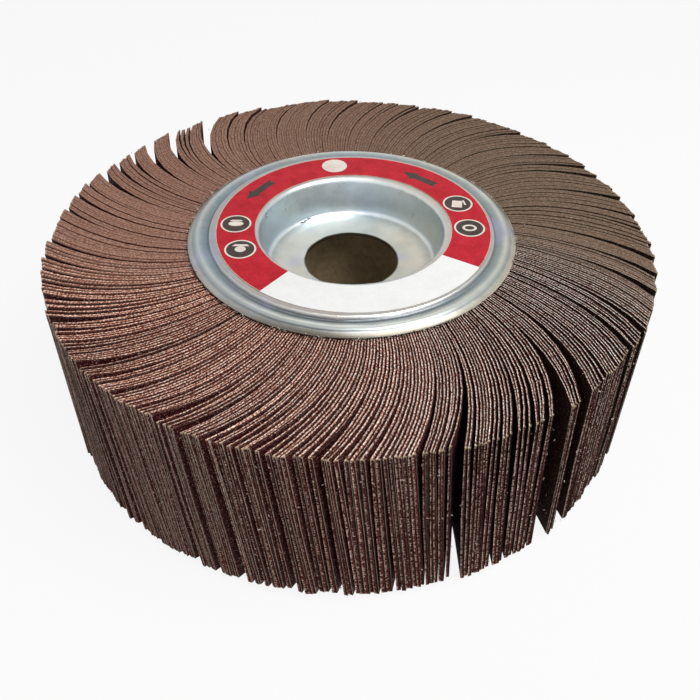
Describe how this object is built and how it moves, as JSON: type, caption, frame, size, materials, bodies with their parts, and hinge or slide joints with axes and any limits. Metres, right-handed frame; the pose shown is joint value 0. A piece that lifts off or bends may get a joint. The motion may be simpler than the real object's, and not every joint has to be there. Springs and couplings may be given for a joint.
{
  "type": "flap wheel",
  "caption": "Flap wheel: abrasive cloth leaves stand on edge around a hub closed by a cupped steel stamping at each side, with a round arbor hole.",
  "frame": {"origin": "on the wheel's axis, in the plane of the rear flange's plateau, which the wheel lies on", "axes": "+Z along the axis out of the front side, which carries the label; X and Y are across the wheel"},
  "size_m": [0.1646, 0.1646, 0.0553],
  "materials": {
    "flange_steel": "zinc plated, satin",
    "label_paper": "printed, matt",
    "core_resin": "cast, dull",
    "abrasive_cloth": "coated with grain, rough"
  },
  "bodies": {
    "root": {"flap_bunch_01": "abrasive_cloth", "flap_bunch_02": "abrasive_cloth", "flap_bunch_03": "abrasive_cloth", "flap_bunch_04": "abrasive_cloth", "flap_bunch_05": "abrasive_cloth", "flap_bunch_06": "abrasive_cloth", "flap_bunch_07": "abrasive_cloth", "flap_bunch_08": "abrasive_cloth", "flap_bunch_09": "abrasive_cloth", "flap_bunch_10": "abrasive_cloth", "flap_bunch_11": "abrasive_cloth", "flap_bunch_12": "abrasive_cloth", "flap_bunch_13": "abrasive_cloth", "flap_bunch_14": "abrasive_cloth", "flap_bunch_15": "abrasive_cloth", "flap_bunch_16": "abrasive_cloth", "flap_bunch_17": "abrasive_cloth", "flap_bunch_18": "abrasive_cloth", "flap_bunch_19": "abrasive_cloth", "flap_bunch_20": "abrasive_cloth", "flap_bunch_21": "abrasive_cloth", "flap_bunch_22": "abrasive_cloth", "flap_bunch_23": "abrasive_cloth", "flap_bunch_24": "abrasive_cloth", "flap_bunch_25": "abrasive_cloth", "flap_bunch_26": "abrasive_cloth", "flap_bunch_27": "abrasive_cloth", "flap_bunch_28": "abrasive_cloth", "flap_bunch_29": "abrasive_cloth", "flap_bunch_30": "abrasive_cloth", "flap_bunch_31": "abrasive_cloth", "flap_bunch_32": "abrasive_cloth", "flap_bunch_33": "abrasive_cloth", "flap_bunch_34": "abrasive_cloth", "flap_bunch_35": "abrasive_cloth", "flap_bunch_36": "abrasive_cloth", "flap_bunch_37": "abrasive_cloth", "flap_bunch_38": "abrasive_cloth", "flap_bunch_39": "abrasive_cloth", "flap_bunch_40": "abrasive_cloth", "flap_bunch_41": "abrasive_cloth", "flap_bunch_42": "abrasive_cloth", "flap_bunch_43": "abrasive_cloth", "flap_bunch_44": "abrasive_cloth", "flap_bunch_45": "abrasive_cloth", "flap_bunch_46": "abrasive_cloth", "flap_bunch_47": "abrasive_cloth", "flap_bunch_48": "abrasive_cloth", "flap_bunch_49": "abrasive_cloth", "flap_bunch_50": "abrasive_cloth", "front_flange": "flange_steel", "label": "label_paper", "rear_flange": "flange_steel", "resin_core": "core_resin"}
  },
  "joints": []
}
